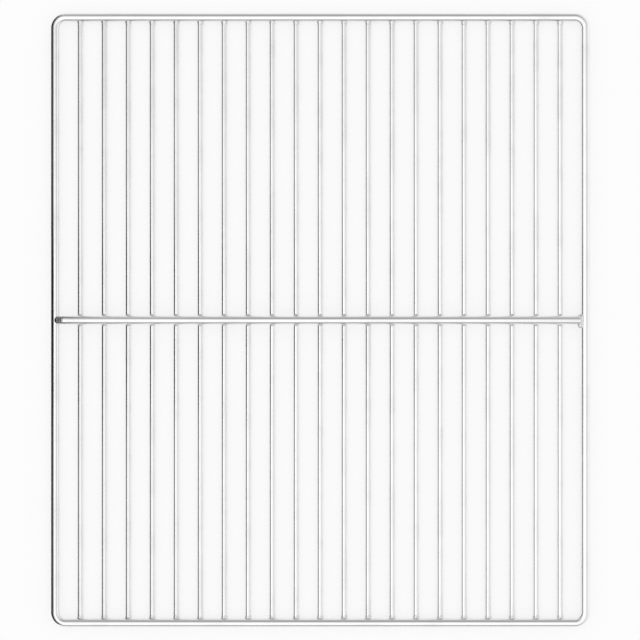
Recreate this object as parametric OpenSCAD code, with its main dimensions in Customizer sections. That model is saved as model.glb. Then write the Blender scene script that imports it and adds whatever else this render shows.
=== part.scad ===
// Welded steel grill grate, lying on its cooking face with its crossbar on top.
// The origin is the middle of the cooking face: X runs across the bars, Y along them, Z up.

/* [Frame] */
// Overall width, across the bars
grate_w = 426.5; // [300:0.5:600]
// Overall length, along the bars
grate_l = 486; // [300:1:700]
// Diameter of the rod that is bent into the frame
frame_d = 7; // [6:0.25:9]
// Radius of the four bends, on the rod's centre line
bend_r = 8.5; // [6:0.5:30]

/* [Bars] */
// Diameter of the bars
bar_d = 5; // [4:0.25:5.5]
// Distance between the centre lines of two neighbouring bars
bar_pitch = 19; // [12:0.5:30]
// Depth to which the end of a bar is melted into the frame rod
bar_seat = 1.5; // [0.5:0.1:2.5]

/* [Crossbar] */
// Diameter of the crossbar
cross_d = 7; // [6:0.25:9]
// Distance of the crossbar from the middle of the grate, along the bars
cross_y = 0; // [-120:1:120]
// Depth to which the bars are pressed into the crossbar
set_down = 0.6; // [0.3:0.1:1.2]
// Gap between the frame and the crossbar's left end
left_gap = 3; // [0.5:0.5:4]
// Gap between the frame and the crossbar's right end
right_gap = 1; // [0.5:0.5:4]
// Chamfer on both ends of the crossbar
cross_chamfer = 0.6; // [0.2:0.1:1.5]

/* [Welds at the bar ends] */
// Length of the flare along the bar, from the frame's inner edge
flare_l = 2.4; // [1:0.1:4]
// Height of the flare above the bar where it meets the frame
flare_h = 0.9; // [0.4:0.1:1.6]
// Height of the step at the flare's thin end
flare_toe = 0.12; // [0.05:0.01:0.3]
// Height above the cooking face at which the flare is ground off
flare_lift = 0.7; // [0.5:0.1:1.5]

/* [Welds under the crossbar] */
// Radius of the hollow fillet in the four corners of a crossing
fillet_r = 1.5; // [0.6:0.1:2.2]
// Height of the step at the fillet's thin edges
fillet_toe = 0.1; // [0.05:0.01:0.3]

/* [Welds at the crossbar ends] */
// Radius of one ripple of the left bead
left_ripple_r = 3.2; // [2.6:0.1:4]
// Number of ripples in the left bead
left_ripples = 3; // [2:1:5]
// Radius of one ripple of the right bead
right_ripple_r = 2.5; // [2:0.1:3.5]
// Number of ripples in the right bead
right_ripples = 5; // [3:1:8]
// Distance between two ripples of the right bead, along the frame
ripple_step = 1.6; // [1:0.1:2]
// Distance by which the right bead runs off the crossbar's centre line
bead_shift = -0.8; // [-2:0.1:2]

/* [Hidden] */
$fn = 64;
frame_r = frame_d / 2;
bar_r = bar_d / 2;
cross_r = cross_d / 2;
// Half the distances between the centre lines of opposite frame sides
side_x = grate_w / 2 - frame_r;
end_y = grate_l / 2 - frame_r;
// Bars and frame lie flush on the cooking face
bar_z = bar_r;
frame_z = frame_r;
// The bars stand evenly on the straight stretch of the end rods, flares and all
bar_count = floor(2 * (side_x - bend_r - bar_r - flare_h) / bar_pitch) + 1;
bar_half_l = end_y - frame_r + bar_seat;
// The crossbar lies on the bars, pressed together by the set-down
cross_z = bar_d + cross_r - set_down;
cross_left = -side_x + frame_r + left_gap;
cross_right = side_x - frame_r - right_gap;
// Where a ball of the fillet's radius rests on both rods of a crossing, along either rod
ball_y = sqrt(pow(cross_r + fillet_r, 2) - pow(cross_z - bar_d - fillet_r, 2));
ball_x = sqrt(pow(bar_r + fillet_r, 2) - pow(cross_z - cross_r - fillet_r - bar_z, 2));
// Reach of the fillet round the bar and round the crossbar, up to the other fillet's tip
bar_reach = norm([ball_x, cross_z - cross_r - bar_z]) + fillet_toe;
cross_reach = norm([ball_y, cross_z - bar_d]) + fillet_toe;
// Arc of the flare, hollow towards the frame
flare_arc_r = (pow(flare_l, 2) + pow(flare_h - flare_toe, 2)) / (2 * (flare_h - flare_toe));
// Where the end beads bite on the frame: depth behind its inner edge and height on its flank
bead_bite = 0.6;
bead_z = frame_z + 0.7 * frame_r;
// Overlength of every cutting body
cut = 1;
steel = [0.80, 0.81, 0.82];
weld_steel = [0.72, 0.73, 0.74];

function bar_x(i) = (i - (bar_count + 1) / 2) * bar_pitch;
function bar_name(i) = str("bar_", i < 10 ? "0" : "", i);

// Round rod along X, centred on the origin
module rod_x(l, r) {
    rotate([0, 90, 0])
        cylinder(h = l, r = r, center = true);
}

// Round rod along Y, centred on the origin
module rod_y(l, r) {
    rotate([90, 0, 0])
        cylinder(h = l, r = r, center = true);
}

// Rod bent to a closed rectangle with round corners, before the bars bite into it
module frame_rod() {
    straight_x = 2 * (side_x - bend_r);
    straight_y = 2 * (end_y - bend_r);
    translate([0, 0, frame_z])
        for (side = [-1, 1]) {
            translate([0, side * end_y, 0])
                rod_x(straight_x, frame_r);
            translate([side * side_x, 0, 0])
                rod_y(straight_y, frame_r);
            for (end = [-1, 1])
                translate([side * (side_x - bend_r), end * (end_y - bend_r), 0])
                    rotate([0, 0, side > 0 ? (end > 0 ? 0 : -90) : (end > 0 ? 90 : 180)])
                        rotate_extrude(angle = 90)
                            translate([bend_r, 0])
                                circle(r = frame_r);
        }
}

// One straight bar, its ends inside the end rods
module bar_rod(i) {
    translate([bar_x(i), 0, bar_z])
        rod_y(2 * bar_half_l, bar_r);
}

// Crossbar with chamfered ends, before it is pressed onto the bars
module cross_rod() {
    translate([cross_left, cross_y, cross_z])
        rotate([90, 0, 90])
            rotate_extrude()
                polygon([
                    [0, 0],
                    [cross_r - cross_chamfer, 0],
                    [cross_r, cross_chamfer],
                    [cross_r, cross_right - cross_left - cross_chamfer],
                    [cross_r - cross_chamfer, cross_right - cross_left],
                    [0, cross_right - cross_left]
                ]);
}

// Frame with a seat for both ends of every bar
module frame() {
    color(steel)
        difference() {
            frame_rod();
            for (i = [1 : bar_count])
                bar_rod(i);
        }
}

module bar(i) {
    color(steel)
        bar_rod(i);
}

// Crossbar with a shallow saddle where each bar is pressed into it
module crossbar() {
    color(steel)
        difference() {
            cross_rod();
            for (i = [1 : bar_count])
                bar_rod(i);
        }
}

// Half section of a bar's end weld: a hollow flare that widens from the bar to the frame.
// It stands on the frame's axis and its second coordinate runs along the bar.
module flare_section() {
    difference() {
        square([bar_r + flare_h, frame_r + flare_l]);
        translate([bar_r + flare_toe + flare_arc_r, frame_r + flare_l])
            circle(r = flare_arc_r);
    }
}

// Weld metal round one bar end at the rear end rod, ground off above the cooking face
module end_weld(i) {
    flare_r = bar_r + flare_h;
    difference() {
        translate([bar_x(i), end_y, bar_z])
            rotate([90, 0, 0])
                rotate_extrude()
                    flare_section();
        translate([bar_x(i) - flare_r - cut, end_y - frame_r - flare_l - cut, -flare_r])
            cube([2 * (flare_r + cut), frame_r + flare_l + 2 * cut, flare_r + flare_lift]);
        bar_rod(i);
        translate([bar_x(i), end_y, frame_z])
            rod_x(2 * (flare_r + cut), frame_r);
    }
}

module rear_end_welds() {
    color(weld_steel)
        for (i = [1 : bar_count])
            end_weld(i);
}

module front_end_welds() {
    color(weld_steel)
        mirror([0, 1, 0])
            for (i = [1 : bar_count])
                end_weld(i);
}

// Round body that thins out towards both ends, with hollow flanks, standing on Z
module spool(rod_r, reach, half_l) {
    rotate_extrude()
        difference() {
            translate([0, -half_l])
                square([reach, 2 * half_l]);
            for (end = [-1, 1])
                translate([rod_r + fillet_toe + fillet_r, end * half_l])
                    circle(r = fillet_r);
        }
}

// Weld metal round one crossing: what a spool on the bar and one on the crossbar share
module crossing_weld(i) {
    difference() {
        intersection() {
            translate([bar_x(i), cross_y, bar_z])
                rotate([90, 0, 0])
                    spool(bar_r, bar_reach, ball_y);
            translate([bar_x(i), cross_y, cross_z])
                rotate([0, 90, 0])
                    spool(cross_r, cross_reach, ball_x);
        }
        bar_rod(i);
        translate([bar_x(i), cross_y, cross_z])
            rod_x(2 * (ball_x + cut), cross_r);
    }
}

module crossing_welds() {
    color(weld_steel)
        for (i = [1 : bar_count])
            crossing_weld(i);
}

// Frame and crossbar cut out of a bead, so that the bead lies against both
module bead_seat() {
    difference() {
        children();
        for (side = [-1, 1])
            translate([side * side_x, cross_y, frame_z])
                rod_y(4 * cross_d, frame_r);
        cross_rod();
    }
}

// Weld bead along Z, centred: a row of round ripples, each laid half over the one before it
module ripple_bead(count, step, r) {
    rotate_extrude()
        intersection() {
            for (n = [0 : count - 1])
                translate([0, (n - (count - 1) / 2) * step])
                    circle(r = r);
            translate([0, -count * step - r])
                square([r, 2 * (count * step + r)]);
        }
}

// Bead that climbs from the frame to the middle of the crossbar's left end
module left_bead() {
    low = [-side_x + frame_r - bead_bite, bead_z];
    high = [cross_left, cross_z - bead_bite];
    run = high - low;
    color(weld_steel)
        bead_seat()
            translate([(low.x + high.x) / 2, cross_y, (low.y + high.y) / 2])
                rotate([0, 90 - atan2(run.y, run.x), 0])
                    ripple_bead(left_ripples, norm(run) / (left_ripples - 1), left_ripple_r);
}

// Bead that runs along the frame, across the crossbar's right end
module right_bead() {
    color(weld_steel)
        bead_seat()
            translate([side_x - frame_r - bead_bite, cross_y + bead_shift, bead_z])
                rotate([90, 0, 0])
                    ripple_bead(right_ripples, ripple_step, right_ripple_r);
}

frame();
crossbar();
for (i = [1 : bar_count])
    bar(i);
rear_end_welds();
front_end_welds();
crossing_welds();
left_bead();
right_bead();
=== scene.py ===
import math

import bmesh
import bpy
from mathutils import Matrix, Vector


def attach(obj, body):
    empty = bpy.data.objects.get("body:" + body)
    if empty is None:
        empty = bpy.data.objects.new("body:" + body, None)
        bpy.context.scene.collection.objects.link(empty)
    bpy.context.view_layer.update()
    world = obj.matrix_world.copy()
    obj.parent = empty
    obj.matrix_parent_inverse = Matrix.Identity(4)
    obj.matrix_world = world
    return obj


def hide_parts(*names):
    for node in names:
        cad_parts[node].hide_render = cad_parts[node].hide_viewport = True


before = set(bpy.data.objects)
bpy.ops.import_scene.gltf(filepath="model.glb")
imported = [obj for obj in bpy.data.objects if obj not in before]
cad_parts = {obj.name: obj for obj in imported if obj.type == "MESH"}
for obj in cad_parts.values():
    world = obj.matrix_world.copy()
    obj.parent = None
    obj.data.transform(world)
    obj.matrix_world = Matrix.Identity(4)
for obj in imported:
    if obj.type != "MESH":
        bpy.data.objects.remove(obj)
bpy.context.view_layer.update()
scene = bpy.context.scene
scene.view_settings.view_transform = "Standard"
mm = 0.001
print("frame loaded:", len(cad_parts), "nodes")


class Link:  # a node's output, so that a sum on it adds the Math node
    def __init__(self, graph, socket):
        self.graph = graph
        self.socket = socket

    def out(self, name):
        return Link(self.graph, self.socket.node.outputs[name])

    def __add__(self, other):
        return self.graph.maths("ADD", self, other)

    def __radd__(self, other):
        return self.graph.maths("ADD", other, self)

    def __sub__(self, other):
        return self.graph.maths("SUBTRACT", self, other)

    def __rsub__(self, other):
        return self.graph.maths("SUBTRACT", other, self)

    def __mul__(self, other):
        return self.graph.maths("MULTIPLY", self, other)

    def __rmul__(self, other):
        return self.graph.maths("MULTIPLY", other, self)

    def __truediv__(self, other):
        return self.graph.maths("DIVIDE", self, other)

    def __rtruediv__(self, other):
        return self.graph.maths("DIVIDE", other, self)


class Graph:  # a node tree of any kind
    def __init__(self, tree):
        self.tree = tree

    def node(self, kind, settings=None, sockets=None, out=0):
        made = self.tree.nodes.new(kind)
        for name, value in (settings or {}).items():
            if name == "stops":
                ramp = made.color_ramp
                while len(ramp.elements) < len(value):
                    ramp.elements.new(0.5)
                for stop, (place, level) in zip(ramp.elements, value):
                    stop.position = place
                    stop.color = (level, level, level, 1)
            else:
                setattr(made, name, value)
        for name, value in (sockets or {}).items():
            if isinstance(value, Link):
                self.tree.links.new(value.socket, made.inputs[name])
            else:
                made.inputs[name].default_value = value
        return Link(self, made.outputs[out]) if len(made.outputs) else made

    def maths(self, operation, a, b=0.0):
        return self.node("ShaderNodeMath", {"operation": operation}, {0: a, 1: b})

    def blend(self, amount, a, b):  # colours, so through a Mix node
        return self.node("ShaderNodeMix", {"data_type": "RGBA"}, {0: amount, 6: a, 7: b}, out=2)

    def scaled(self, vector, factor):
        return self.node("ShaderNodeVectorMath", {"operation": "SCALE"}, {0: vector, "Scale": factor})

    def spread(self, value, low, high):  # smooth 0 to 1 between two values
        settings = {"interpolation_type": "SMOOTHSTEP"}
        return self.node("ShaderNodeMapRange", settings, {"Value": value, "From Min": low, "From Max": high})


def emptied(owner):  # a material's or world's own tree, with nothing in it
    owner.use_nodes = True
    owner.node_tree.nodes.clear()
    return Graph(owner.node_tree)


# Materials. The finishes read the ring attribute, which runs round each rod, and Object coordinates.
rodFinish = {
    "light": (0.90, 0.90, 0.90, 1), "shade": (0.80, 0.80, 0.805, 1),
    "roughness": 0.13, "roughVary": 0.07, "cloudScale": 38.0,
    "lines": 26.0, "lineStretch": 55.0, "lineDepth": 0.006 * mm, "lineRough": 0.05,
    "waveScale": 95.0, "waveDepth": 0.05 * mm,
}
weldFinish = {
    "light": (0.84, 0.84, 0.835, 1), "shade": (0.62, 0.62, 0.615, 1),
    "roughness": 0.24, "roughVary": 0.14, "grainScale": 2600.0, "lumpScale": 900.0,
    "grainDepth": 0.012 * mm, "lumpDepth": 0.07 * mm,
}


def rodSteel(name, finish, lighter=0.0):
    material = bpy.data.materials.new(name)
    g = emptied(material)
    ring = g.node("ShaderNodeAttribute", {"attribute_name": "ring"}, out="Vector")
    across = g.node("ShaderNodeSeparateXYZ", sockets={0: ring})
    place = g.node("ShaderNodeTexCoord", out="Object")
    spot = g.node("ShaderNodeSeparateXYZ", sockets={0: place})
    lineAt = g.node("ShaderNodeCombineXYZ", sockets={
        "X": across * finish["lines"], "Y": across.out("Y") * finish["lines"],
        "Z": spot * finish["lineStretch"]})
    drawn = g.node("ShaderNodeTexNoise", {"noise_dimensions": "4D"}, {
        "Vector": lineAt, "W": spot.out("Y") * finish["lineStretch"],
        "Scale": 1.0, "Detail": 3.0, "Roughness": 0.62})
    cloud = g.node("ShaderNodeTexNoise", sockets={
        "Vector": place, "Scale": finish["cloudScale"], "Detail": 3.0, "Roughness": 0.55})
    wave = g.node("ShaderNodeTexNoise", sockets={
        "Vector": place, "Scale": finish["waveScale"], "Detail": 1.0})
    haze = g.spread(cloud, 0.42, 0.68)
    streak = g.spread(drawn, 0.35, 0.72)
    tone = g.blend(haze * 0.55 + streak * 0.3, finish["light"], finish["shade"])
    rough = haze * finish["roughVary"] + streak * finish["lineRough"] + (finish["roughness"] - lighter)
    lined = g.node("ShaderNodeBump", sockets={
        "Height": drawn, "Distance": finish["lineDepth"], "Strength": 1.0}, out="Normal")
    waved = g.node("ShaderNodeBump", sockets={
        "Height": wave, "Distance": finish["waveDepth"], "Strength": 1.0, "Normal": lined}, out="Normal")
    shader = g.node("ShaderNodeBsdfPrincipled", sockets={
        "Base Color": tone, "Metallic": 1.0, "Roughness": rough, "Normal": waved})
    g.node("ShaderNodeOutputMaterial", sockets={"Surface": shader})
    return material


def weldSteel(name, finish):
    material = bpy.data.materials.new(name)
    g = emptied(material)
    place = g.node("ShaderNodeTexCoord", out="Object")
    grain = g.node("ShaderNodeTexNoise", sockets={
        "Vector": place, "Scale": finish["grainScale"], "Detail": 4.0, "Roughness": 0.6})
    lump = g.node("ShaderNodeTexNoise", sockets={
        "Vector": place, "Scale": finish["lumpScale"], "Detail": 2.0})
    dull = g.spread(lump, 0.35, 0.7)
    tone = g.blend(dull * 0.6 + g.spread(grain, 0.4, 0.75) * 0.35, finish["light"], finish["shade"])
    rough = dull * finish["roughVary"] + finish["roughness"]
    fine = g.node("ShaderNodeBump", sockets={
        "Height": grain, "Distance": finish["grainDepth"], "Strength": 1.0}, out="Normal")
    lumpy = g.node("ShaderNodeBump", sockets={
        "Height": lump, "Distance": finish["lumpDepth"], "Strength": 1.0, "Normal": fine}, out="Normal")
    shader = g.node("ShaderNodeBsdfPrincipled", sockets={
        "Base Color": tone, "Metallic": 1.0, "Roughness": rough, "Normal": lumpy})
    g.node("ShaderNodeOutputMaterial", sockets={"Surface": shader})
    return material


frameSteel = rodSteel("frameSteel", rodFinish)
barSteel = rodSteel("barSteel", rodFinish)
crossbarSteel = rodSteel("crossbarSteel", rodFinish)
weldMetal = weldSteel("weldMetal", weldFinish)
print("materials made")


def newTree(name, sizes):  # a Geometry Nodes tree with one named input for each size
    tree = bpy.data.node_groups.new(name, "GeometryNodeTree")
    tree.interface.new_socket("Geometry", in_out="OUTPUT", socket_type="NodeSocketGeometry")
    tree.interface.new_socket("Geometry", in_out="INPUT", socket_type="NodeSocketGeometry")
    for label, value in sizes.items():
        kind = "NodeSocketInt" if isinstance(value, int) else "NodeSocketFloat"
        tree.interface.new_socket(label, in_out="INPUT", socket_type=kind)
    tree.interface.new_socket("Material", in_out="INPUT", socket_type="NodeSocketMaterial")
    g = Graph(tree)
    return g, g.node("NodeGroupInput")


def closeTree(g, geometry, inputs):  # instances made real, material set, result put out
    real = g.node("GeometryNodeRealizeInstances", sockets={0: geometry})
    smooth = g.node("GeometryNodeSetShadeSmooth", sockets={0: real})
    painted = g.node("GeometryNodeSetMaterial", sockets={
        "Geometry": smooth, "Material": inputs.out("Material")})
    g.node("NodeGroupOutput", sockets={"Geometry": painted})


def grown(pieceName, tree, sizes, material, seedMesh=None):  # runs a tree and keeps its plain mesh
    piece = bpy.data.objects.new(pieceName, seedMesh or bpy.data.meshes.new(pieceName + "Seed"))
    scene.collection.objects.link(piece)
    modifier = piece.modifiers.new(pieceName, "NODES")
    modifier.node_group = tree
    values = dict(sizes, Material=material)
    for item in tree.interface.items_tree:
        if item.in_out == "INPUT" and item.name in values:
            modifier[item.identifier] = values[item.name]
    depsgraph = bpy.context.evaluated_depsgraph_get()
    mesh = bpy.data.meshes.new_from_object(
        piece.evaluated_get(depsgraph), preserve_all_data_layers=True, depsgraph=depsgraph)
    piece.modifiers.remove(modifier)
    piece.data = mesh
    mesh.name = pieceName
    return piece


def roundProfile(g, radius, sides):  # circle that is swept, with its own place kept for the ring attribute
    circle = g.node("GeometryNodeCurvePrimitiveCircle", sockets={"Resolution": sides, "Radius": radius},
                    out="Curve")
    place = g.node("GeometryNodeInputPosition")
    unit = g.node("ShaderNodeVectorMath", {"operation": "NORMALIZE"}, {0: place})
    settings = {"data_type": "FLOAT_VECTOR", "domain": "POINT"}
    return g.node("GeometryNodeStoreNamedAttribute", settings, {
        "Geometry": circle, "Name": "ring", "Value": unit})


def finished(piece, slot, *nodes):
    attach(piece, "root")
    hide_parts(*nodes)
    return piece


# Frame: one rod bent to a rectangle with round corners
frameSizes = {
    "Width": 419.5 * mm, "Length": 479.0 * mm, "Bend Radius": 8.5 * mm, "Rod Radius": 3.5 * mm,
    "Bend Steps": 20, "Sides": 48,
}


def frameTree():
    g, inputs = newTree("frameRodTree", frameSizes)
    path = g.node("GeometryNodeCurvePrimitiveQuadrilateral", sockets={
        "Width": inputs.out("Width"), "Height": inputs.out("Length")})
    bent = g.node("GeometryNodeFilletCurve", {"mode": "POLY"}, {
        "Curve": path, "Count": inputs.out("Bend Steps"), "Radius": inputs.out("Bend Radius")})
    profile = roundProfile(g, inputs.out("Rod Radius"), inputs.out("Sides"))
    rod = g.node("GeometryNodeCurveToMesh", sockets={"Curve": bent, "Profile Curve": profile})
    lift = g.node("ShaderNodeCombineXYZ", sockets={"Z": inputs.out("Rod Radius")})
    placed = g.node("GeometryNodeTransform", sockets={"Geometry": rod, "Translation": lift})
    closeTree(g, placed, inputs)
    return g.tree


frameRod = grown("frameRod", frameTree(), frameSizes, frameSteel)
finished(frameRod, "frame_steel", "frame")
print("frame rod:", len(frameRod.data.polygons), "faces")


# Grill bars: one row of straight rods, their ends inside the frame
barSizes = {
    "Count": 21, "Pitch": 19.0 * mm, "Bar Length": 475.0 * mm, "Rod Radius": 2.5 * mm, "Sides": 40,
}


def barTree():
    g, inputs = newTree("grillBarTree", barSizes)
    half = inputs.out("Bar Length") * 0.5
    start = g.node("ShaderNodeCombineXYZ", sockets={"Y": 0.0 - half})
    end = g.node("ShaderNodeCombineXYZ", sockets={"Y": half})
    line = g.node("GeometryNodeCurvePrimitiveLine", sockets={"Start": start, "End": end})
    profile = roundProfile(g, inputs.out("Rod Radius"), inputs.out("Sides"))
    rod = g.node("GeometryNodeCurveToMesh", sockets={
        "Curve": line, "Profile Curve": profile, "Fill Caps": True})
    first = (inputs.out("Count") - 1) * inputs.out("Pitch") * -0.5
    row = g.node("GeometryNodeMeshLine", sockets={
        "Count": inputs.out("Count"),
        "Start Location": g.node("ShaderNodeCombineXYZ", sockets={
            "X": first, "Z": inputs.out("Rod Radius")}),
        "Offset": g.node("ShaderNodeCombineXYZ", sockets={"X": inputs.out("Pitch")})})
    bars = g.node("GeometryNodeInstanceOnPoints", sockets={"Points": row, "Instance": rod})
    closeTree(g, bars, inputs)
    return g.tree


grillBars = grown("grillBars", barTree(), barSizes, barSteel)
barNodes = [f"bar_{number:02d}" for number in range(1, barSizes["Count"] + 1)]
finished(grillBars, "bar_steel", *barNodes)
print("grill bars:", len(grillBars.data.polygons), "faces")


def meshPiece(name, verts, faces, material=None):
    mesh = bpy.data.meshes.new(name)
    mesh.from_pydata(verts, [], faces)
    shell = bmesh.new()
    shell.from_mesh(mesh)
    bmesh.ops.remove_doubles(shell, verts=shell.verts, dist=1e-7)
    bmesh.ops.recalc_face_normals(shell, faces=shell.faces)
    shell.to_mesh(mesh)
    shell.free()
    mesh.shade_smooth()
    if material:
        mesh.materials.append(material)
    return mesh


def closedRing(sections):  # faces that join closed sections, all the way round
    rows, steps = len(sections), len(sections[0])
    verts = [point for section in sections for point in section]
    faces = []
    for row in range(rows):
        ahead = (row + 1) % rows
        for step in range(steps):
            beside = (step + 1) % steps
            faces.append((row * steps + step, row * steps + beside,
                          ahead * steps + beside, ahead * steps + step))
    return verts, faces


# Crossbar: a rod across all bars, with rounded edges at its cut ends
crossSizes = {
    "left": -203.25 * mm, "right": 205.25 * mm, "radius": 3.5 * mm, "height": 7.9 * mm,
    "edge": 0.6 * mm, "edgeSteps": 5, "sides": 56,
}


def crossbarMesh(sizes):
    edge, radius, sides = sizes["edge"], sizes["radius"], sizes["sides"]
    outline = []  # distance from the end and radius there
    for step in range(sizes["edgeSteps"] + 1):
        turn = math.pi / 2 * step / sizes["edgeSteps"]
        outline.append((edge * (1 - math.sin(turn)), radius - edge * (1 - math.cos(turn))))
    profile = [(sizes["left"] + off, r) for off, r in reversed(outline)]
    profile += [(sizes["right"] - off, r) for off, r in outline]
    profile = [(sizes["left"], radius * 0.5)] + profile + [(sizes["right"], radius * 0.5)]
    verts, rings = [], []
    for x, r in profile:
        for side in range(sides):
            turn = 2 * math.pi * side / sides
            verts.append((x, r * math.sin(turn), sizes["height"] + r * math.cos(turn)))
            rings.append((math.sin(turn), math.cos(turn), 0))
    faces = [
        (row * sides + side, row * sides + (side + 1) % sides,
         (row + 1) * sides + (side + 1) % sides, (row + 1) * sides + side)
        for row in range(len(profile) - 1) for side in range(sides)]
    for x, row in ((sizes["left"], 0), (sizes["right"], len(profile) - 1)):
        pole = len(verts)
        verts.append((x, 0, sizes["height"]))
        rings.append((0, 0, 0))
        faces += [(row * sides + side, row * sides + (side + 1) % sides, pole) for side in range(sides)]
    mesh = bpy.data.meshes.new("crossbarRod")
    mesh.from_pydata(verts, [], faces)
    place = mesh.attributes.new("ring", "FLOAT_VECTOR", "POINT")
    place.data.foreach_set("vector", [value for ring in rings for value in ring])
    shell = bmesh.new()
    shell.from_mesh(mesh)
    bmesh.ops.recalc_face_normals(shell, faces=shell.faces)
    shell.to_mesh(mesh)
    shell.free()
    mesh.shade_smooth()
    mesh.materials.append(crossbarSteel)
    return mesh


crossbarRod = bpy.data.objects.new("crossbarRod", crossbarMesh(crossSizes))
scene.collection.objects.link(crossbarRod)
finished(crossbarRod, "crossbar_steel", "crossbar")
print("crossbar:", len(crossbarRod.data.polygons), "faces")


# End welds: a hollow flare round each bar end, tangent to bar and frame
endWeldSizes = {
    "frameRadius": 3.5 * mm, "barRadius": 2.5 * mm, "endY": 239.5 * mm,
    "reach": 2.4 * mm, "rise": 0.8 * mm, "ground": 0.45 * mm, "sunk": 0.35 * mm,
    "around": 28, "steps": 7,
}


def endWeldMesh(sizes):
    frameR, barR = sizes["frameRadius"], sizes["barRadius"]
    sections = []
    for part in range(sizes["around"]):
        turn = 2 * math.pi * part / sizes["around"]
        up, out = math.sin(turn), math.cos(turn)
        rise = sizes["rise"]
        if up < 0:  # ground off above the cooking face
            rise = min(rise, (barR - sizes["ground"]) / -up - barR)
        rise = max(rise, 0.02 * mm)
        tip = barR + rise

        def skin(radius):  # where the frame's surface is at this distance from the bar's axis
            drop = barR + radius * up - frameR
            return math.sqrt(max(frameR ** 2 - drop ** 2, 0.0))

        toe = (frameR + sizes["reach"] * min(1.0, 0.35 + 0.65 * rise / sizes["rise"]), barR)
        corner = (skin(barR), barR)
        top = (skin(tip), tip)
        curve = []
        for step in range(sizes["steps"] + 1):
            t = step / sizes["steps"]
            curve.append(tuple(
                (1 - t) ** 2 * toe[k] + 2 * t * (1 - t) * corner[k] + t * t * top[k] for k in (0, 1)))
        inner = barR - sizes["sunk"]
        curve += [(top[0] - sizes["sunk"], top[1]), (corner[0] - sizes["sunk"], inner), (toe[0], inner)]
        sections.append([(r * out, y, barR + r * up) for y, r in curve])
    return meshPiece("endWeldSeed", *closedRing(sections))


endRowSizes = {
    "Count": 21, "Pitch": 19.0 * mm, "End Y": 239.5 * mm, "Unevenness": 0.1 * mm, "Grain": 700.0,
}


def endWeldTree():
    g, inputs = newTree("endWeldTree", endRowSizes)
    first = (inputs.out("Count") - 1) * inputs.out("Pitch") * -0.5
    row = g.node("GeometryNodeMeshLine", sockets={
        "Count": inputs.out("Count"),
        "Start Location": g.node("ShaderNodeCombineXYZ", sockets={
            "X": first, "Y": 0.0 - inputs.out("End Y")}),
        "Offset": g.node("ShaderNodeCombineXYZ", sockets={"X": inputs.out("Pitch")})})
    front = g.node("GeometryNodeInstanceOnPoints", sockets={
        "Points": row, "Instance": inputs.out("Geometry")})
    half = g.node("GeometryNodeTransform", sockets={
        "Geometry": front, "Rotation": (0.0, 0.0, math.pi)})
    both = g.node("GeometryNodeJoinGeometry")
    for part in (front, half):
        g.tree.links.new(part.socket, both.socket.node.inputs[0])
    real = g.node("GeometryNodeRealizeInstances", sockets={0: both})
    noise = g.node("ShaderNodeTexNoise", sockets={
        "Vector": g.node("GeometryNodeInputPosition"), "Scale": inputs.out("Grain"), "Detail": 1.0})
    push = (noise - 0.5) * inputs.out("Unevenness") * 2.0
    offset = g.scaled(g.node("GeometryNodeInputNormal"), push)
    uneven = g.node("GeometryNodeSetPosition", sockets={"Geometry": real, "Offset": offset})
    closeTree(g, uneven, inputs)
    return g.tree


endWelds = grown("endWelds", endWeldTree(), endRowSizes, weldMetal, endWeldMesh(endWeldSizes))
finished(endWelds, "weld_steel", "rear_end_welds", "front_end_welds")
print("end welds:", len(endWelds.data.polygons), "faces")


# Crossing welds: the hollow fillet that a rolling ball leaves between crossbar and bar
crossWeldSizes = {
    "barRadius": 2.5 * mm, "crossRadius": 3.5 * mm, "crossHeight": 7.9 * mm, "ball": 1.6 * mm,
    "around": 48, "steps": 7, "sunk": 0.03 * mm,
}


def crossWeldMesh(sizes):
    barR, crossR, crossZ = sizes["barRadius"], sizes["crossRadius"], sizes["crossHeight"]
    ball = sizes["ball"]
    farBar, farCross = barR + ball, crossR + ball
    topZ = barR + farBar
    reachY = math.sqrt(farCross ** 2 - (crossZ - topZ) ** 2)
    sections = []
    for part in range(sizes["around"]):
        turn = 2 * math.pi * part / sizes["around"]
        y = reachY * math.cos(turn)
        z = crossZ - math.sqrt(farCross ** 2 - y * y)
        x = math.copysign(math.sqrt(max(farBar ** 2 - (z - barR) ** 2, 0.0)), math.sin(turn))
        centre = Vector((x, y, z))
        toBar = (Vector((0, y, barR)) - centre).normalized()
        toCross = (Vector((x, 0, crossZ)) - centre).normalized()
        open_ = toBar.angle(toCross)
        arc = []
        for step in range(sizes["steps"] + 1):
            t = step / sizes["steps"]
            way = (toBar * math.sin((1 - t) * open_) + toCross * math.sin(t * open_)) / math.sin(open_)
            arc.append(centre + way * ball)
        arc[0] += toBar * sizes["sunk"]
        arc[-1] += toCross * sizes["sunk"]
        middle = (arc[0] + arc[-1]) / 2
        deep = centre + (middle - centre).normalized() * (ball + 1.1 * mm)
        sections.append([tuple(point) for point in arc] + [tuple(deep)])
    return meshPiece("crossWeldSeed", *closedRing(sections))


crossRowSizes = {
    "Count": 21, "Pitch": 19.0 * mm, "Cross Y": 0.0, "Unevenness": 0.09 * mm, "Grain": 650.0,
}


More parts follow.
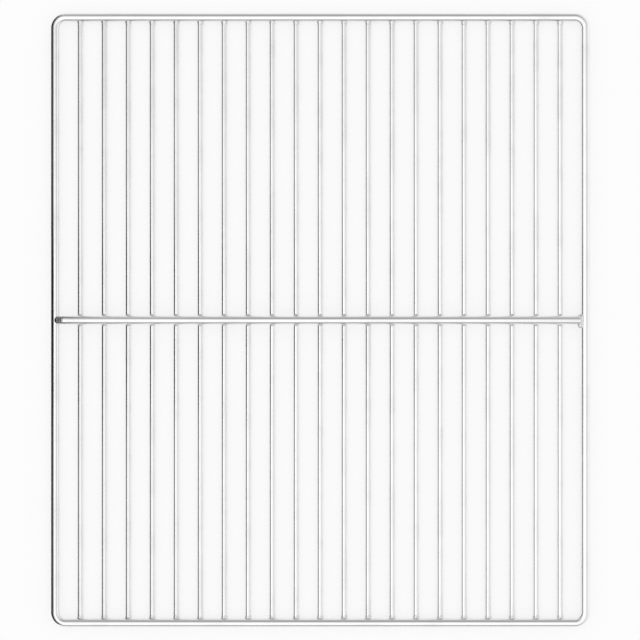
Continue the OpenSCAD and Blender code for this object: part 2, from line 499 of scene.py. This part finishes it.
def crossWeldTree():
    g, inputs = newTree("crossingWeldTree", crossRowSizes)
    first = (inputs.out("Count") - 1) * inputs.out("Pitch") * -0.5
    row = g.node("GeometryNodeMeshLine", sockets={
        "Count": inputs.out("Count"),
        "Start Location": g.node("ShaderNodeCombineXYZ", sockets={
            "X": first, "Y": inputs.out("Cross Y")}),
        "Offset": g.node("ShaderNodeCombineXYZ", sockets={"X": inputs.out("Pitch")})})
    rings = g.node("GeometryNodeInstanceOnPoints", sockets={
        "Points": row, "Instance": inputs.out("Geometry")})
    real = g.node("GeometryNodeRealizeInstances", sockets={0: rings})
    noise = g.node("ShaderNodeTexNoise", sockets={
        "Vector": g.node("GeometryNodeInputPosition"), "Scale": inputs.out("Grain"), "Detail": 1.0})
    push = (noise - 0.5) * inputs.out("Unevenness") * 2.0
    offset = g.scaled(g.node("GeometryNodeInputNormal"), push)
    uneven = g.node("GeometryNodeSetPosition", sockets={"Geometry": real, "Offset": offset})
    closeTree(g, uneven, inputs)
    return g.tree


crossingWelds = grown("crossingWelds", crossWeldTree(), crossRowSizes, weldMetal,
                      crossWeldMesh(crossWeldSizes))
finished(crossingWelds, "weld_steel", "crossing_welds")
print("crossing welds:", len(crossingWelds.data.polygons), "faces")


# Beads at the crossbar's ends: rows of round ripples, each laid half over the one before it
leftBeadSizes = {
    "start": (-206.85 * mm, 0.0, 5.95 * mm), "end": (-203.25 * mm, 0.0, 7.3 * mm),
    "ripples": 3, "radius": 3.2 * mm, "bend": 0.5 * mm, "rows": 56, "sides": 44,
}
rightBeadSizes = {
    "start": (205.65 * mm, 2.4 * mm, 5.95 * mm), "end": (205.65 * mm, -4.0 * mm, 5.95 * mm),
    "ripples": 5, "radius": 2.5 * mm, "bend": 0.5 * mm, "rows": 84, "sides": 40,
}


def beadMesh(name, sizes):
    start, end = Vector(sizes["start"]), Vector(sizes["end"])
    run = end - start
    along = run.normalized()
    side = along.cross(Vector((0, 0, 1))).normalized()
    top = side.cross(along)
    radius, ripples = sizes["radius"], sizes["ripples"]
    spacing = run.length / (ripples - 1)
    middles = [spacing * number for number in range(ripples)]
    low, high = -radius, run.length + radius
    verts = []
    for row in range(1, sizes["rows"]):
        share = 0.5 - 0.5 * math.cos(math.pi * row / sizes["rows"])
        s = low + (high - low) * share
        for part in range(sizes["sides"]):
            turn = 2 * math.pi * part / sizes["sides"]
            lag = sizes["bend"] * (1 - math.cos(turn)) * 0.5 * math.sin(math.pi * share)
            bent = s + lag
            r = max(math.sqrt(max(radius ** 2 - (bent - at) ** 2, 0.0)) for at in middles)
            end_ = math.sqrt(max(1 - (2 * share - 1) ** 2, 0.0))
            r = min(r, radius * (0.25 + 2.2 * end_))
            verts.append(start + along * s + (top * math.cos(turn) + side * math.sin(turn)) * r)
    sides = sizes["sides"]
    faces = [
        (row * sides + part, row * sides + (part + 1) % sides,
         (row + 1) * sides + (part + 1) % sides, (row + 1) * sides + part)
        for row in range(sizes["rows"] - 2) for part in range(sides)]
    for s, row in ((low, 0), (high, sizes["rows"] - 2)):
        faces += [(row * sides + part, row * sides + (part + 1) % sides, len(verts))
                  for part in range(sides)]
        verts.append(start + along * s)
    return meshPiece(name, [tuple(v) for v in verts], faces, weldMetal)


for name, sizes, node in (("leftBead", leftBeadSizes, "left_bead"),
                          ("rightBead", rightBeadSizes, "right_bead")):
    bead = bpy.data.objects.new(name, beadMesh(name, sizes))
    scene.collection.objects.link(bead)
    finished(bead, "weld_steel", node)
print("beads made")


# Studio: white floor, soft light all round with grey and dark sides, one camera straight above
studio = {
    "lens": 85.0, "sensor": 36.0, "scale": 0.7917 * mm, "pixels": 640, "focusHeight": 3.5 * mm,
    "centreX": 320.2, "centreY": 320.1,
    "floorSize": 8.0, "floorDrop": 0.1 * mm, "floorColour": 0.92, "floorGlow": 0.72,
    "plainLight": 1.0, "shine": 1.2,
}
sideLight = {  # brightness by the angle from straight above, in degrees
    "east": [(0, 1.0), (14, 1.0), (28, 0.55), (40, 0.55), (52, 0.7), (66, 0.85), (90, 0.95)],
    "west": [(0, 1.0), (20, 1.0), (45, 1.0), (60, 0.9), (78, 0.8), (90, 0.8)],
    "north": [(0, 1.0), (8, 0.85), (22, 0.5), (38, 0.31), (52, 0.31), (66, 0.42), (90, 0.5)],
    "south": [(0, 1.0), (20, 1.0), (46, 0.95), (60, 0.6), (72, 0.25), (90, 0.2)],
}


def studioWorld():
    world = bpy.data.worlds.new("studioLight")
    scene.world = world
    g = emptied(world)
    direction = g.node("ShaderNodeTexCoord", out="Generated")
    part = g.node("ShaderNodeSeparateXYZ", sockets={0: direction})
    east, north, up = part, part.out("Y"), part.out("Z")
    zenith = g.maths("ARCCOSINE", up) / (math.pi / 2)
    flat = g.maths("MAXIMUM", east * east + north * north, 1e-6)
    total = None
    for side, axis, sign in (("east", east, 1), ("west", east, -1),
                             ("north", north, 1), ("south", north, -1)):
        stops = [(angle / 90, level) for angle, level in sideLight[side]]
        level = g.node("ShaderNodeValToRGB", {"stops": stops}, {0: zenith})
        share = g.maths("MAXIMUM", axis * float(sign), 0.0)
        part = share * share / flat * level
        total = part if total is None else total + part
    path = g.node("ShaderNodeLightPath")
    isCamera, isGlossy = path.out("Is Camera Ray"), path.out("Is Glossy Ray")
    lit = isGlossy * total * studio["shine"] + (1 - isGlossy) * studio["plainLight"]
    strength = isCamera + (1 - isCamera) * lit
    background = g.node("ShaderNodeBackground", sockets={"Color": (1, 1, 1, 1), "Strength": strength})
    g.node("ShaderNodeOutputWorld", sockets={"Surface": background})


def stageObject(name, mesh, material):
    made = bpy.data.objects.new(name, mesh)
    mesh.materials.append(material)
    scene.collection.objects.link(made)
    return made


def sheetMesh(name, corners):
    mesh = bpy.data.meshes.new(name)
    mesh.from_pydata(corners, [], [tuple(range(len(corners)))])
    return mesh


def studioFloor():
    material = bpy.data.materials.new("paleFloor")
    g = emptied(material)
    grey = studio["floorColour"]
    diffuse = g.node("ShaderNodeBsdfDiffuse", sockets={"Color": (grey, grey, grey, 1)})
    white = g.node("ShaderNodeEmission", sockets={"Color": (1, 1, 1, 1), "Strength": 1.0})
    path = g.node("ShaderNodeLightPath")
    seen = g.maths("MAXIMUM", path.out("Is Camera Ray"),
                   g.maths("MAXIMUM", path.out("Is Glossy Ray"), path.out("Is Transmission Ray")))
    mixed = g.node("ShaderNodeMixShader", sockets={0: seen * studio["floorGlow"], 1: diffuse, 2: white})
    g.node("ShaderNodeOutputMaterial", sockets={"Surface": mixed})
    half, z = studio["floorSize"] / 2, -studio["floorDrop"]
    corners = [(-half, -half, z), (half, -half, z), (half, half, z), (-half, half, z)]
    stageObject("studioFloor", sheetMesh("studioFloor", corners), material)


flags = {  # dark cards that only the metal sees: left of the grate, and one further away
    "nearX": -245 * mm, "nearHeight": 30 * mm, "nearFoot": -222 * mm, "nearHalf": 300 * mm,
    "nearLevel": 0.012,
    "farX": -389 * mm, "farHeight": 327 * mm, "farHalf": 700 * mm,
    "farDark": 0.02, "farLight": 0.26, "farCore": 50 * mm, "farEdge": 130 * mm,
}


def darkCards():
    material = bpy.data.materials.new("nearCard")
    g = emptied(material)
    level = flags["nearLevel"]
    glow = g.node("ShaderNodeEmission", sockets={"Color": (level, level, level, 1), "Strength": 1.0})
    g.node("ShaderNodeOutputMaterial", sockets={"Surface": glow})
    x, half, foot = flags["nearX"], flags["nearHalf"], flags["nearFoot"]
    verts = [(foot, -half, 0), (foot, half, 0), (x, half, 0), (x, -half, 0),
             (x, half, flags["nearHeight"]), (x, -half, flags["nearHeight"])]
    mesh = bpy.data.meshes.new("nearCard")
    mesh.from_pydata(verts, [], [(0, 1, 2, 3), (3, 2, 4, 5)])
    near = stageObject("nearCard", mesh, material)

    material = bpy.data.materials.new("farCard")
    g = emptied(material)
    place = g.node("ShaderNodeTexCoord", out="Object")
    along = g.node("ShaderNodeSeparateXYZ", sockets={0: place}, out="Y")
    away = g.spread(g.maths("ABSOLUTE", along), flags["farCore"], flags["farEdge"])
    level = away * (flags["farLight"] - flags["farDark"]) + flags["farDark"]
    glow = g.node("ShaderNodeEmission", sockets={"Color": (1, 1, 1, 1), "Strength": level})
    g.node("ShaderNodeOutputMaterial", sockets={"Surface": glow})
    x, half, top = flags["farX"], flags["farHalf"], flags["farHeight"]
    far = stageObject("farCard", sheetMesh("farCard", [
        (x, -half, 0), (x, half, 0), (x, half, top), (x, -half, top)]), material)
    for card in (near, far):
        card.visible_camera = False
        card.visible_diffuse = False
        card.visible_shadow = False
        card.visible_transmission = False


def studioCamera():
    lens = bpy.data.cameras.new("camera")
    lens.lens = studio["lens"]
    lens.sensor_width = studio["sensor"]
    lens.clip_start, lens.clip_end = 0.01, 50.0
    camera = bpy.data.objects.new("camera", lens)
    scene.collection.objects.link(camera)
    wide = studio["scale"] * studio["pixels"]
    away = wide * studio["lens"] / studio["sensor"]
    middle = studio["pixels"] / 2
    camera.location = (
        (middle - studio["centreX"]) * studio["scale"],
        (studio["centreY"] - middle) * studio["scale"],
        studio["focusHeight"] + away)
    scene.camera = camera


studioWorld()
studioFloor()
darkCards()
studioCamera()
print("studio made")

bpy.context.view_layer.update()
